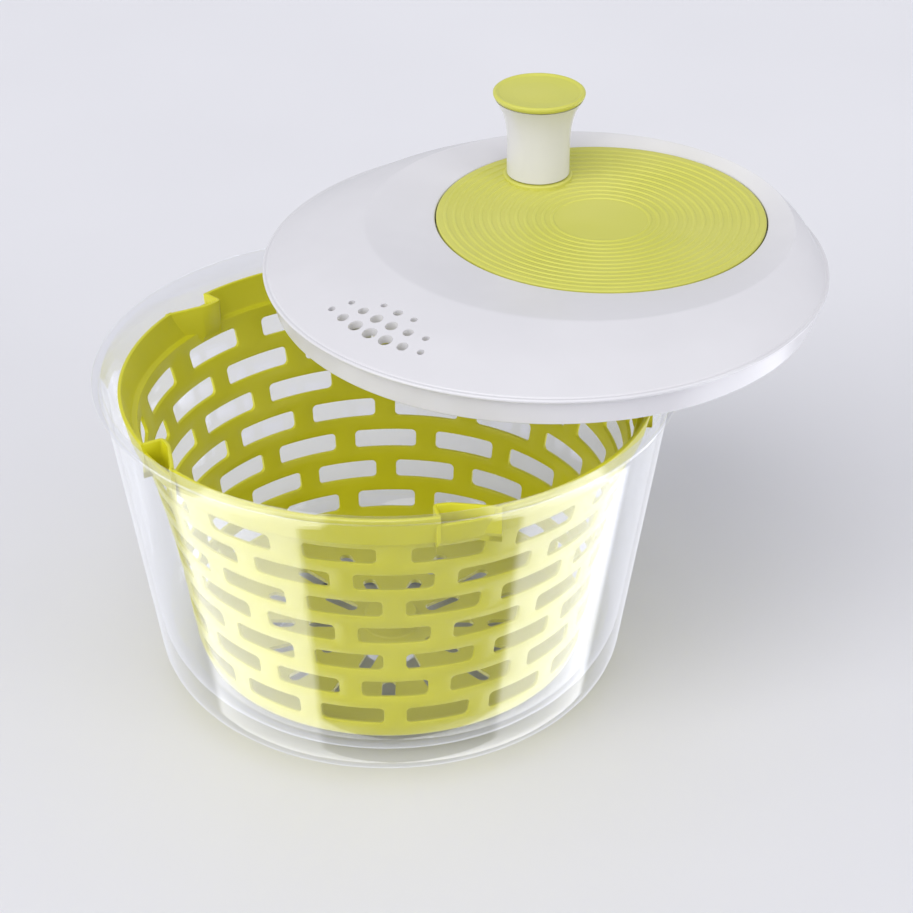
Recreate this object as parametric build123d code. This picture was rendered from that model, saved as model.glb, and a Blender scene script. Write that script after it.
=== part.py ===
from build123d import *
import os
from math import atan2, cos, degrees, hypot, pi, radians, sin, sqrt, tan

# Salad spinner with a clear bowl, a slotted basket and a gear-driven lid, in millimetres.
# Origin: centre of the bowl's underside, +Z up. The lid lies aside on the bowl's rim.

# --- driving dimensions: bowl ---
BOWL_H = 151.0
RIM_R = 127.5
BOWL_WALL = 2.2
BOWL_TOP_R = 122.8
BOWL_TOP_Z = 142.0
BOWL_CORNER_R = 40.0
BOWL_TOE_R = 101.5
BOWL_FLOOR_Z = 3.6
FOOT_R = 51.0
PAD_R = 12.0
GRIP_R = (55.0, 62.0)
PIN_R = 2.5
PIN_TOP_Z = 17.0
PIN_DEPTH = 6.5
BOSS_TOP_Z = 11.0

# --- driving dimensions: basket ---
BASKET_RIM_R = 116.8
BASKET_RIM_Z = 144.5
BASKET_BASE_Z = 13.0
BASKET_WALL = 1.8
BASKET_TAPER = (89.5, 10.5, 8.5)
BASKET_CORNER = 8.0
COLLAR_Z = 130.0
COLLAR_LOW_R = 113.2
BASKET_HUB_R = 12.0
BEARING_R = 7.0
RUN_GAP = 0.06
SLOT_ROWS = 7
SLOTS_PER_ROW = 15
SLOT_AZ = 20.5
SLOT_TOP_DROP = 23.0
SLOT_PITCH = 15.6
SLOT_H = 8.8
SLOT_WEB = 9.8
TOP_WEB = 14.5
SCOOPS = 5
SCOOP_AZ = 281.0
SCOOP_DEPTH = 9.3
SCOOP_LENGTH = 28.0
SCOOP_NOTCH = 4.5

# --- driving dimensions: lid, heights above the plane that seats on the rim ---
LID_R = 124.0
LID_EDGE_T = 2.2
LID_WALL = 2.2
SKIRT_H = 12.0
SKIRT_R = (120.6, 119.4)
SKIRT_WALL = 1.8
SEAT_GAP = 0.3
DOME_R = 121.8
DISH_R = 96.0
DISH_OFFSET = 25.0
DISH_Z = 12.0
CRANK_AZ = 52.0
CRANK_OFFSET = 42.0
WELL_R = 74.6
WELL_Z = 7.4
SIEVE_AZ = 225.0
SIEVE_ROWS = ((106.0, (3.2, 5.0, 6.3, 6.6, 6.2, 5.0, 3.2)),
              (97.8, (3.0, 4.6, 5.6, 5.6, 4.6, 3.2)),
              (89.6, (3.0, 4.2, 3.2)))
SIEVE_PITCH = 9.0

# --- driving dimensions: gear train and crank ---
MODULE = 1.5
RING_TEETH = 76
PINION_TEETH = 20
PRESSURE = radians(20)
BACKLASH = 0.22
GEAR_LOW_Z = -3.2
MESH_AZ = CRANK_AZ + 180
DISC_R = 74.1
DISC_FLAT_Z = 3.4
DISC_RIM_Z = 8.0
DISC_MID_Z = 5.6
RIDGE_PITCH = 4.0
RIDGE_H = 0.45
RIDGE_FIRST_R = 22.0
RIDGES = 13
TRAY_Z = (-5.6, -3.8)
CUP_R = 12.3
CUP_LOW_Z = -22.0
SHAFT_R = 4.0
BUSH_R = 6.5
BALL_R = 3.0
AXLE_TOP_Z = -2.53
BALL_Z = 0.5
SCREW_R = 1.25
KNOB_R = 52.0
KNOB_AZ = 121.5
KNOB_PAD_Z = 8.2
KNOB_H = 41.0
KNOB_CAP_R = 21.2
KNOB_STEM_R = 14.6
KNOB_GAP = 0.4
KNOB_CAP_T = 3.2
KNOB_NECK_Z = 36.5

# --- driving dimensions: drive rotor under the lid ---
ROTOR_LOW_Z = -28.5
ROTOR_T = 2.5
ROTOR_R = (83.5, 90.0)
FINGER_TIP_R = 111.0
HUB_TOP_Z = -17.2
FINGER_Z = (-14.5, -9.5)
FINGER_W = 8.0
FINGER_GAP = 1.7

# --- where the lid lies while the bowl is open ---
LID_ASIDE = (69.0, 38.0)
SEAT_Z = BOWL_H + SEAT_GAP
LID_LIFT = -ROTOR_LOW_Z
LID_POS = Pos(LID_ASIDE[0], LID_ASIDE[1], SEAT_Z + LID_LIFT)


def polar(radius, azimuth, z=0.0):
    """Point at a radius and an azimuth in degrees."""
    return Vector(radius * cos(radians(azimuth)), radius * sin(radians(azimuth)), z)


CRANK_AT = polar(CRANK_OFFSET, CRANK_AZ)
CRANK_POS = LID_POS * Pos(CRANK_AT.X, CRANK_AT.Y, 0)
KNOB_AT = polar(KNOB_R, KNOB_AZ)
KNOB_POS = CRANK_POS * Pos(KNOB_AT.X, KNOB_AT.Y, 0)


def turned(*points, fillets=()):
    """Solid turned about Z from (radius, z) points, with (corner index, radius) fillets."""
    face = Face(Wire(Polyline([(r, 0, z) for r, z in points], close=True).edges()))
    for index, radius in fillets:
        r, z = points[index]
        corner = [v for v in face.vertices() if hypot(v.X - r, v.Z - z) < 1e-4]
        face = face.fillet_2d(radius, corner)
    return revolve(face, Axis.Z)


def rod(radius, low, high):
    """Upright cylinder between two heights."""
    return Pos(0, 0, low) * Cylinder(radius, high - low, align=(Align.CENTER, Align.CENTER, Align.MIN))


def tube(inner, outer, low, high):
    """Upright tube between two heights."""
    return rod(outer, low, high) - rod(inner, low - 1, high + 1)


def hex_bar(radius, low, high):
    """Upright hexagonal bar between two heights."""
    return extrude(Pos(0, 0, low) * RegularPolygon(radius, 6), high - low)


def frustum(low_r, low_at, low_z, high_r, high_at, high_z):
    """Cone between two level circles whose centres may differ."""
    low = Pos(low_at.X, low_at.Y, low_z) * Circle(low_r)
    high = Pos(high_at.X, high_at.Y, high_z) * Circle(high_r)
    return loft([low, high], ruled=True)


# --- bowl ---

def bowl_wall_r(z):
    """Outer radius of the bowl's straight wall at a height."""
    return BOWL_TOE_R + (BOWL_TOP_R - BOWL_TOE_R) * z / BOWL_TOP_Z


def make_bowl():
    """Clear bowl: flat base with a foot, drafted wall, flared rim and a pivot boss."""
    inner_toe_r = bowl_wall_r(BOWL_FLOOR_Z) - BOWL_WALL
    inner_top_r = BOWL_TOP_R - BOWL_WALL
    body = turned(
        (0, 0), (PAD_R, 0), (PAD_R + 1, 1), (FOOT_R, 1), (FOOT_R + 0.5, 0.5), (GRIP_R[0], 0.5),
        (GRIP_R[0], 1.8), (GRIP_R[1], 1.8), (GRIP_R[1], 0.5), (BOWL_TOE_R, 0.5),
        (BOWL_TOP_R, BOWL_TOP_Z), (BOWL_TOP_R + 1.8, BOWL_H - 3.4), (RIM_R, BOWL_H - 2.6),
        (RIM_R, BOWL_H), (inner_top_r + 2.9, BOWL_H), (inner_top_r, BOWL_TOP_Z),
        (inner_toe_r, BOWL_FLOOR_Z), (10, BOWL_FLOOR_Z), (6.5, BOSS_TOP_Z), (0, BOSS_TOP_Z),
        fillets=((9, BOWL_CORNER_R), (16, BOWL_CORNER_R - BOWL_WALL), (11, 1.6), (12, 0.9),
                 (13, 1.2), (14, 0.8), (15, 8.0), (17, 2.0)))
    return body - rod(PIN_R, BOSS_TOP_Z - PIN_DEPTH, BOSS_TOP_Z + 1)


def make_grip_ring():
    """Soft ring in the base's groove, half a millimetre proud of the foot."""
    return tube(GRIP_R[0] + 0.05, GRIP_R[1] - 0.05, 0, 1.8)


def make_pivot_pin():
    """Steel pin in the bowl's boss that centres the basket, with a domed top."""
    pin = rod(PIN_R, BOSS_TOP_Z - PIN_DEPTH, PIN_TOP_Z)
    return fillet(pin.edges().filter_by(GeomType.CIRCLE).sort_by(Axis.Z)[-1], 1.2)


# --- basket ---

def make_bearing():
    """Low-friction cup that drops over the pin and carries the basket's hub."""
    body = rod(BEARING_R, BOSS_TOP_Z + 0.2, PIN_TOP_Z + 2.4)
    body += rod(BEARING_R + 3, BOSS_TOP_Z + 0.2, BASKET_BASE_Z - 0.3)
    return body - rod(PIN_R + RUN_GAP, BOSS_TOP_Z, PIN_TOP_Z + 0.3)


def basket_r(z):
    """Outer radius of the slotted wall at a height: a flared taper over a rounded base corner."""
    base, slope, flare = BASKET_TAPER
    up = (z - 28.0) / 95.0
    down = min(1.0, (COLLAR_Z - z) / (COLLAR_Z - BASKET_BASE_Z))
    return base + slope * up + flare * up ** 2 - BASKET_CORNER * (1 - sqrt(1 - down ** 22))


def wall_line(inset):
    """Outline of the slotted wall from the base to the collar, moved inwards by an inset."""
    low = BASKET_BASE_Z + inset
    span = COLLAR_Z - low
    steps = 14
    heights = [span * (i / steps) ** 1.6 for i in range(steps + 1)]
    full = COLLAR_Z - BASKET_BASE_Z
    return [(basket_r(BASKET_BASE_Z + up * full / span) - inset, 0, low + up) for up in heights]


def basket_shell():
    """Floor, slotted wall before its slots, and the wider collar above its ledge."""
    outer = wall_line(0)
    inner = wall_line(BASKET_WALL)
    edges = [Line((0, 0, BASKET_BASE_Z), outer[0]), Spline(outer), Line(outer[-1], inner[-1]),
             Spline(inner), Line(inner[0], (0, 0, inner[0][2])),
             Line((0, 0, inner[0][2]), (0, 0, BASKET_BASE_Z))]
    wall = revolve(Face(Wire(edges)), Axis.Z)
    ledge_z = COLLAR_Z + BASKET_WALL
    collar = turned((outer[-1][0] - BASKET_WALL, COLLAR_Z - 1.5), (outer[-1][0] - 0.3, COLLAR_Z - 1.5),
                    (COLLAR_LOW_R, COLLAR_Z), (BASKET_RIM_R, BASKET_RIM_Z),
                    (BASKET_RIM_R - BASKET_WALL, BASKET_RIM_Z), (COLLAR_LOW_R - BASKET_WALL, ledge_z),
                    (outer[-1][0] - BASKET_WALL, ledge_z - 0.6))
    return wall + collar


def wall_slots():
    """Cutters for the brick pattern of level slots, row by row."""
    cutters = []
    for row in range(SLOT_ROWS):
        z = BASKET_RIM_Z - SLOT_TOP_DROP - SLOT_PITCH * row
        radius = basket_r(z)
        step = 360.0 / SLOTS_PER_ROW
        length = 2 * pi * radius / SLOTS_PER_ROW - (SLOT_WEB if row else TOP_WEB)
        for i in range(SLOTS_PER_ROW):
            azimuth = SLOT_AZ + (i + 0.5 * (row % 2)) * step
            cutters.append(Rot(0, 0, azimuth) * Pos(radius, 0, z) * Box(30, length, SLOT_H))
    return cutters


def floor_slots():
    """Cutters for the radial slots in the basket's floor."""
    cutters = []
    for count, low, high in ((10, 20.0, 38.0), (16, 44.0, 62.0)):
        for i in range(count):
            place = Rot(0, 0, 360.0 * i / count) * Pos((low + high) / 2, 0, BASKET_BASE_Z + 1)
            cutters.append(place * Box(high - low, 6, 8))
    return cutters


def scoop_outline(inset):
    """Plan of a scoop: a blunt face at one end that fades into the collar at the other."""
    deep = BASKET_RIM_R - BASKET_WALL - SCOOP_DEPTH + inset
    span = degrees(SCOOP_LENGTH / BASKET_RIM_R)
    skew = degrees(inset / BASKET_RIM_R)
    shape = ((skew, RIM_R), (skew, deep + 2.0), (1.3 + skew, deep), (4.2, deep), (span * 0.6, deep + 2.6),
             (span - 2 * skew, BASKET_RIM_R - BASKET_WALL + inset), (span - 2 * skew, RIM_R))
    return make_face(Polyline([polar(r, a) for a, r in shape], close=True).edges())


def scoop_prism(index, inset):
    """A scoop's plan as an upright prism at its place round the rim."""
    plan = Rot(0, 0, SCOOP_AZ + 360.0 * index / SCOOPS) * scoop_outline(inset)
    return extrude(Pos(0, 0, COLLAR_Z - 6) * plan, BASKET_RIM_Z - COLLAR_Z + 12)


def add_scoops(body):
    """Fill each scoop's wall, hollow the pocket behind it and notch the collar in front."""
    deep = BASKET_RIM_R - BASKET_WALL - SCOOP_DEPTH
    wall_r = basket_r(COLLAR_Z) - 1
    ledge_z = COLLAR_Z + BASKET_WALL
    collar_in = COLLAR_LOW_R - BASKET_WALL
    solid = turned((deep, BASKET_RIM_Z), (deep, COLLAR_Z + 4), (wall_r, COLLAR_Z - 4),
                   (wall_r + 0.5, COLLAR_Z - 1), (COLLAR_LOW_R - 0.6, COLLAR_Z + 0.5),
                   (BASKET_RIM_R - 0.6, BASKET_RIM_Z))
    pocket = turned((deep + BASKET_WALL, BASKET_RIM_Z + 2), (deep + BASKET_WALL, ledge_z),
                    (collar_in, ledge_z), (BASKET_RIM_R - BASKET_WALL, BASKET_RIM_Z),
                    (BASKET_RIM_R - BASKET_WALL, BASKET_RIM_Z + 2))
    notch = tube(deep + BASKET_WALL, RIM_R, BASKET_RIM_Z - SCOOP_NOTCH, BASKET_RIM_Z + 2)
    body += [scoop_prism(i, 0) & solid for i in range(SCOOPS)]
    return body - [scoop_prism(i, BASKET_WALL) & (pocket + notch) for i in range(SCOOPS)]


def make_basket():
    """Slotted basket with a closed hub over the bearing and scoops for the drive fingers."""
    body = basket_shell()
    body += rod(BASKET_HUB_R, BASKET_BASE_Z, PIN_TOP_Z + 5)
    body -= rod(BEARING_R + RUN_GAP, BASKET_BASE_Z - 1, PIN_TOP_Z + 2.8)
    body -= wall_slots() + floor_slots()
    return add_scoops(body)


# --- lid shell and gear housing, in the lid's frame ---

def dome(shrink, drop):
    """Outer cone of the lid, from its edge up to the eccentric crease."""
    return frustum(DOME_R - shrink, Vector(), LID_EDGE_T - drop,
                   DISH_R - shrink * 0.6, polar(DISH_OFFSET, CRANK_AZ), DISH_Z - drop)


def dish(grow, drop):
    """Hollow of the dish, from the crease down to the crank's well."""
    top = polar(DISH_OFFSET, CRANK_AZ)
    body = frustum(WELL_R + grow, CRANK_AT, WELL_Z - drop, DISH_R - 1.6, top, DISH_Z - drop)
    return body + extrude(Pos(top.X, top.Y, DISH_Z - drop) * Circle(DISH_R - 1.6), 6)


def sieve_holes():
    """Cutters for the pouring holes, in rows that follow the lid's edge."""
    cutters = []
    for radius, diameters in SIEVE_ROWS:
        step = degrees(SIEVE_PITCH / radius)
        for i, diameter in enumerate(diameters):
            at = polar(radius, SIEVE_AZ + (i - (len(diameters) - 1) / 2) * step)
            cutters.append(Pos(at.X, at.Y, 0) * rod(diameter / 2, 0, 15))
    return cutters


def ear_spots():
    """Centres of the gear housing's screws."""
    return [CRANK_AT + polar(80.0, CRANK_AZ + turn) for turn in (-140, -75, 75, 140)]


def make_lid_shell():
    """White lid: edge and skirt, eccentric rise, dish, well collar, sieve holes and bosses."""
    edge = rod(LID_R, 0, LID_EDGE_T)
    edge = fillet(edge.edges().filter_by(GeomType.CIRCLE), 0.9)
    solid = edge + dome(0, 0) - dish(0, 0)
    hollow = dome(LID_WALL, LID_WALL) + rod(SKIRT_R[0] - SKIRT_WALL, -2, 0)
    hollow -= dish(LID_WALL, LID_WALL)
    collar = Pos(CRANK_AT.X, CRANK_AT.Y, 0) * tube(WELL_R, WELL_R + 2, TRAY_Z[1], WELL_Z)
    body = solid - hollow
    body += collar & rod(SKIRT_R[1], TRAY_Z[1], WELL_Z)
    skirt_top, skirt_low = SKIRT_R
    body += turned((skirt_top - SKIRT_WALL, 0), (skirt_top, 0), (skirt_low, -SKIRT_H),
                   (skirt_low - SKIRT_WALL, -SKIRT_H))
    for at in ear_spots():
        body += (Pos(at.X, at.Y, 0) * rod(4, TRAY_Z[1], 10)) & solid_under_dish()
    body -= Pos(CRANK_AT.X, CRANK_AT.Y, 0) * rod(WELL_R, -20, 20)
    for at in ear_spots():
        body -= Pos(at.X, at.Y, 0) * rod(SCREW_R, TRAY_Z[1] - 1, 3)
    return body - sieve_holes()


def solid_under_dish():
    """Everything below the lid's upper surface, used to trim the screw bosses."""
    return rod(LID_R, -10, LID_EDGE_T) + dome(0, 0) - dish(0, 0)


def make_gear_housing():
    """Tray that closes the gear well from below, with the axle's cup and the shaft's boss."""
    at = Pos(CRANK_AT.X, CRANK_AT.Y, 0)
    low, floor_z = TRAY_Z
    body = at * rod(WELL_R + 2, low, floor_z)
    body += at * tube(WELL_R - 1.9, WELL_R - 0.2, floor_z, 2)
    for spot in ear_spots():
        body += Pos(spot.X, spot.Y, 0) * rod(5, low, floor_z)
    body = body & rod(SKIRT_R[1] - SKIRT_WALL - 0.4, low - 1, 3)
    body += at * rod(CUP_R + 2, CUP_LOW_Z, floor_z)
    body += rod(BUSH_R + 3, low - 10.4, floor_z)
    body -= at * rod(CUP_R, CUP_LOW_Z + 4, floor_z + 1)
    body -= at * rod(SHAFT_R, CUP_LOW_Z + 1, floor_z)
    body -= rod(BUSH_R, low - 11, floor_z + 1)
    for spot in ear_spots():
        body -= Pos(spot.X, spot.Y, 0) * rod(SCREW_R + 0.35, low - 1, floor_z + 1)
    for spot in retainer_spots():
        body -= at * Pos(spot.X, spot.Y, 0) * rod(SCREW_R * 0.8, low - 1, floor_z + 1)
    return body


def screw(head_r, head_h, shank_r, length):
    """Pan-head screw along +Z with its head's bearing face at z = 0 and a cross recess."""
    head = fillet(rod(head_r, -head_h, 0).edges().filter_by(GeomType.CIRCLE).sort_by(Axis.Z)[0], head_h * 0.4)
    recess = Box(head_r * 1.1, 0.6, head_h * 0.9) + Box(0.6, head_r * 1.1, head_h * 0.9)
    return head + rod(shank_r, 0, length) - Pos(0, 0, -head_h) * recess


def make_housing_screws():
    """Screws that hold the gear housing to the lid's bosses."""
    return [Pos(at.X, at.Y, TRAY_Z[0]) * screw(2.8, 1.6, SCREW_R, 7.5) for at in ear_spots()]


def make_shaft_bush():
    """Flanged bush that the drive shaft turns in."""
    body = rod(BUSH_R, TRAY_Z[0] - 10.4, TRAY_Z[1]) + rod(BUSH_R + 2, TRAY_Z[1], TRAY_Z[1] + 0.6)
    return body - rod(SHAFT_R + RUN_GAP, -30, 5)


# --- crank axis parts, in the crank's frame ---

def make_crank_axle():
    """Steel axle that stands in the housing's cup."""
    axle = rod(SHAFT_R, CUP_LOW_Z + 1, AXLE_TOP_Z)
    return chamfer(axle.edges().filter_by(GeomType.CIRCLE).sort_by(Axis.Z)[0], 0.5)


def retainer_spots():
    """Centres of the hub retainer's screws, about the crank's axis."""
    return [polar(15.6, CRANK_AZ + turn) for turn in (0, 120, 240)]


def make_hub_retainer():
    """C-shaped plate over the cup's mouth that holds the crank hub's flange down."""
    plate = tube(9.6, 18.4, TRAY_Z[1], TRAY_Z[1] + 1.4)
    plate -= Rot(0, 0, CRANK_AZ + 60) * Pos(14, 0, TRAY_Z[1]) * Box(16, 17, 5)
    for spot in retainer_spots():
        plate -= Pos(spot.X, spot.Y, 0) * rod(SCREW_R, -10, 0)
    return plate


def make_retainer_screws():
    """Small screws through the retainer into the housing's floor."""
    top = TRAY_Z[1] + 1.4
    down = Rot(180, 0, 0)
    return [Pos(at.X, at.Y, top) * down * screw(2.2, 0.9, SCREW_R * 0.8, 3.0) for at in retainer_spots()]


def disc_top_z(radius):
    """Height of the disc's dished upper face, without its ridges."""
    return DISC_MID_Z + (DISC_RIM_Z - DISC_MID_Z) * (radius / DISC_R) ** 2


def disc_profile():
    """Half section of the disc: a dished top with fine concentric ridges over a flat back."""
    points = [(0, DISC_FLAT_Z), (0, disc_top_z(0)), (RIDGE_FIRST_R - 3, disc_top_z(RIDGE_FIRST_R - 3))]
    for i in range(RIDGES):
        radius = RIDGE_FIRST_R + i * RIDGE_PITCH
        for shift, rise in ((-0.8, 0), (-0.3, RIDGE_H), (0.3, RIDGE_H), (0.8, 0)):
            points.append((radius + shift, disc_top_z(radius) + rise))
    points += [(DISC_R, DISC_RIM_Z), (DISC_R, DISC_RIM_Z - 2.4), (69, DISC_RIM_Z - 2.4), (69, DISC_FLAT_Z)]
    return points


def gear_spots():
    """Centres of the ring gear's screws."""
    return [polar(65.0, CRANK_AZ + 45 + 90 * i) for i in range(4)]


def make_crank_disc():
    """Ridged disc with a long hub on the axle and a raised pad under the knob."""
    body = turned(*disc_profile())
    body += Pos(KNOB_AT.X, KNOB_AT.Y, 0) * rod(KNOB_STEM_R + 1.4, DISC_FLAT_Z, KNOB_PAD_Z)
    body += rod(9, -12, DISC_FLAT_Z) + rod(11.5, TRAY_Z[1] - 2.6, TRAY_Z[1] - 0.6)
    body -= rod(BUSH_R, -13, AXLE_TOP_Z + 0.2) + rod(BALL_R + RUN_GAP, -5, BALL_Z + BALL_R + 0.05)
    body -= Pos(KNOB_AT.X, KNOB_AT.Y, 0) * (rod(3.02, 0, 20) + rod(6.1, 0, DISC_FLAT_Z + 1.6))
    for at in gear_spots():
        body -= Pos(at.X, at.Y, 0) * rod(SCREW_R, 0, DISC_FLAT_Z + 2.8)
    return body


def make_disc_bush():
    """Plain bush inside the crank's hub."""
    return tube(SHAFT_R + RUN_GAP, BUSH_R, -12, AXLE_TOP_Z - 0.3)


def make_thrust_ball():
    """Steel ball on the axle's end that carries the crank."""
    return Pos(0, 0, BALL_Z) * Sphere(BALL_R)


def flank_angle(pitch_r, radius, half_tooth):
    """Half angle of an involute tooth at a radius, from its half angle at the pitch circle."""
    base_r = pitch_r * cos(PRESSURE)
    alpha = 0.0 if radius <= base_r else atan2(sqrt(radius ** 2 - base_r ** 2), base_r)
    return half_tooth + (tan(PRESSURE) - PRESSURE) - (tan(alpha) - alpha)


def gear_outline(teeth, root_r, tip_r, thin):
    """Outline of an involute gear, its first tooth on +X, each flank thinned by an arc length."""
    pitch_r = MODULE * teeth / 2
    half_tooth = pi / (2 * teeth) - thin / pitch_r
    flank = [root_r + (tip_r - root_r) * i / 4 for i in range(5)]
    points = []
    for tooth in range(teeth):
        centre = 2 * pi * tooth / teeth
        low_side = [(r, centre - flank_angle(pitch_r, r, half_tooth)) for r in flank]
        high_side = [(r, centre + flank_angle(pitch_r, r, half_tooth)) for r in reversed(flank)]
        points += [(r * cos(a), r * sin(a)) for r, a in low_side + high_side]
    return make_face(Polyline(points, close=True).edges())


def make_ring_gear():
    """Internal ring gear with a screwed flange under the disc."""
    pitch_r = MODULE * RING_TEETH / 2
    blank = rod(62, GEAR_LOW_Z, DISC_FLAT_Z) + rod(68.4, DISC_FLAT_Z - 2, DISC_FLAT_Z)
    space = gear_outline(RING_TEETH, pitch_r - MODULE, pitch_r + 1.25 * MODULE, -BACKLASH / 2)
    body = blank - extrude(Pos(0, 0, GEAR_LOW_Z - 1) * Rot(0, 0, MESH_AZ) * space, 10)
    for at in gear_spots():
        body -= Pos(at.X, at.Y, 0) * rod(SCREW_R + 0.3, 0, 5)
    return body


def make_ring_gear_screws():
    """Screws that hold the ring gear to the disc."""
    z = DISC_FLAT_Z - 2
    return [Pos(at.X, at.Y, z) * screw(2.6, 1.6, SCREW_R, 4.4) for at in gear_spots()]


# --- knob parts, in the knob's frame ---

def make_knob_spindle():
    """Shouldered steel stud riveted into the disc, with a neck for the clip."""
    foot = rod(6, DISC_FLAT_Z + 0.2, DISC_FLAT_Z + 1.6)
    shoulder = rod(3, DISC_FLAT_Z + 1.6, KNOB_PAD_Z) + rod(SHAFT_R, KNOB_PAD_Z, KNOB_NECK_Z)
    return foot + shoulder + rod(2.5, KNOB_NECK_Z, KNOB_NECK_Z + 3)


def make_knob_clip():
    """Push-on clip that keeps the knob on its spindle."""
    return tube(2.52, 6, KNOB_NECK_Z, KNOB_NECK_Z + 0.8) - Pos(4.5, 0, KNOB_NECK_Z + 0.5) * Box(5, 1.2, 3)


def make_knob_sleeve():
    """White grip sleeve: a straight stem that flares to the cap, round an inner bearing tube."""
    low = KNOB_PAD_Z + KNOB_GAP
    top = KNOB_PAD_Z + KNOB_H - KNOB_CAP_T - 0.2
    shell = [Spline([(KNOB_STEM_R, 0, low), (KNOB_STEM_R - 0.1, 0, low + 14), (16.4, 0, top - 8),
                     (KNOB_CAP_R - 0.9, 0, top)]),
             Line((KNOB_CAP_R - 0.9, 0, top), (KNOB_CAP_R - 2.9, 0, top)),
             Spline([(KNOB_CAP_R - 2.9, 0, top), (14.4, 0, top - 8), (KNOB_STEM_R - 2.1, 0, low + 14),
                     (KNOB_STEM_R - 2, 0, low)]),
             Line((KNOB_STEM_R - 2, 0, low), (KNOB_STEM_R, 0, low))]
    body = revolve(Face(Wire(shell)), Axis.Z)
    body += tube(SHAFT_R + RUN_GAP, SHAFT_R + 2.2, low + 4, KNOB_NECK_Z - 0.2)
    body += tube(SHAFT_R + 1, KNOB_STEM_R - 0.8, 30, 32)
    return body


def make_knob_cap():
    """Lime cap with a shallow dish on top and a ring that snaps into the sleeve."""
    top = KNOB_PAD_Z + KNOB_H
    low = top - KNOB_CAP_T
    body = turned((0, low), (KNOB_CAP_R - 1.2, low), (KNOB_CAP_R, low + 1.4), (KNOB_CAP_R, top - 0.9),
                  (KNOB_CAP_R - 1.1, top), (KNOB_CAP_R - 2.4, top), (0, top - 1.3))
    return body + tube(14.2, 15.7, low - 3.2, low)


# --- drive parts on the lid's axis ---

def make_drive_pinion():
    """Pinion inside the ring gear, with a hexagonal bore."""
    pitch_r = MODULE * PINION_TEETH / 2
    blank = gear_outline(PINION_TEETH, pitch_r - 1.25 * MODULE, pitch_r + MODULE, BACKLASH / 2)
    body = extrude(Pos(0, 0, -3.1) * Rot(0, 0, MESH_AZ) * blank, 6)
    return body - hex_bar(SHAFT_R - 0.2 + 0.02, -5, 5)


def make_drive_shaft():
    """Steel shaft from the pinion down to the rotor, hexagonal at both ends."""
    body = rod(SHAFT_R, HUB_TOP_Z + 0.05, -3.1) + hex_bar(SHAFT_R - 0.2, -3.1, 2.9)
    body += hex_bar(SHAFT_R - 0.2, ROTOR_LOW_Z + 3.8, HUB_TOP_Z + 0.05)
    return body - rod(SCREW_R, ROTOR_LOW_Z, -17)


def make_rotor_washer():
    """Thrust washer between the rotor's hub and the housing's boss."""
    return tube(SHAFT_R + 0.1, BUSH_R + 2.4, -17.1, -16.2)


def finger_azimuths():
    """Azimuths of the drive fingers, just short of each scoop's blunt face."""
    setback = degrees((FINGER_GAP + FINGER_W / 2) / 109.0)
    return [SCOOP_AZ + 360.0 * i / SCOOPS - setback for i in range(SCOOPS)]


def rotor_arm(azimuth):
    """One arm from hub to ring, with its post and its drive finger."""
    top = ROTOR_LOW_Z + ROTOR_T
    low, high = FINGER_Z
    inner, outer = ROTOR_R
    middle = (inner + 10) / 2
    arm = Pos(middle, 0, ROTOR_LOW_Z + ROTOR_T / 2) * Box(inner - 6, 12, ROTOR_T)
    rib = Pos(middle, 0, top + 2) * Box(inner - 6, 2.4, 4)
    post = Pos(outer - 2, 0, (ROTOR_LOW_Z + high) / 2) * Box(4, FINGER_W, high - ROTOR_LOW_Z)
    reach = FINGER_TIP_R - outer + 4
    finger = Pos(FINGER_TIP_R - reach / 2, 0, (low + high) / 2) * Box(reach, FINGER_W, high - low)
    return Rot(0, 0, azimuth) * (arm + rib + post + finger)


def make_drive_rotor():
    """Flat spider under the lid whose fingers turn the basket by its scoops."""
    top = ROTOR_LOW_Z + ROTOR_T
    body = tube(ROTOR_R[0], ROTOR_R[1], ROTOR_LOW_Z, top) + rod(13, ROTOR_LOW_Z, HUB_TOP_Z)
    body += [rotor_arm(azimuth) for azimuth in finger_azimuths()]
    body -= hex_bar(SHAFT_R - 0.2 + 0.03, ROTOR_LOW_Z + 3.8, -10)
    body -= rod(SCREW_R + 0.3, ROTOR_LOW_Z, -10) + rod(4.4, ROTOR_LOW_Z - 1, ROTOR_LOW_Z + 2.3)
    return body


def make_rotor_screw():
    """Screw that draws the rotor up against the shaft's end."""
    return Pos(0, 0, ROTOR_LOW_Z + 2.3) * screw(3.4, 2.0, SCREW_R, 9.0)


PIECES = (
    ("bowl", Pos(), make_bowl), ("base_grip_ring", Pos(), make_grip_ring),
    ("pivot_pin", Pos(), make_pivot_pin), ("basket_bearing", Pos(), make_bearing),
    ("basket", Pos(), make_basket),
    ("lid_shell", LID_POS, make_lid_shell), ("gear_housing", LID_POS, make_gear_housing),
    ("housing_screws", LID_POS, make_housing_screws), ("shaft_bush", LID_POS, make_shaft_bush),
    ("crank_axle", CRANK_POS, make_crank_axle), ("hub_retainer", CRANK_POS, make_hub_retainer),
    ("retainer_screws", CRANK_POS, make_retainer_screws), ("thrust_ball", CRANK_POS, make_thrust_ball),
    ("crank_disc", CRANK_POS, make_crank_disc), ("disc_bush", CRANK_POS, make_disc_bush),
    ("ring_gear", CRANK_POS, make_ring_gear), ("ring_gear_screws", CRANK_POS, make_ring_gear_screws),
    ("knob_spindle", KNOB_POS, make_knob_spindle), ("knob_clip", KNOB_POS, make_knob_clip),
    ("knob_sleeve", KNOB_POS, make_knob_sleeve), ("knob_cap", KNOB_POS, make_knob_cap),
    ("drive_pinion", LID_POS, make_drive_pinion), ("drive_shaft", LID_POS, make_drive_shaft),
    ("rotor_washer", LID_POS, make_rotor_washer), ("drive_rotor", LID_POS, make_drive_rotor),
    ("rotor_screw", LID_POS, make_rotor_screw),
)


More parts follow.
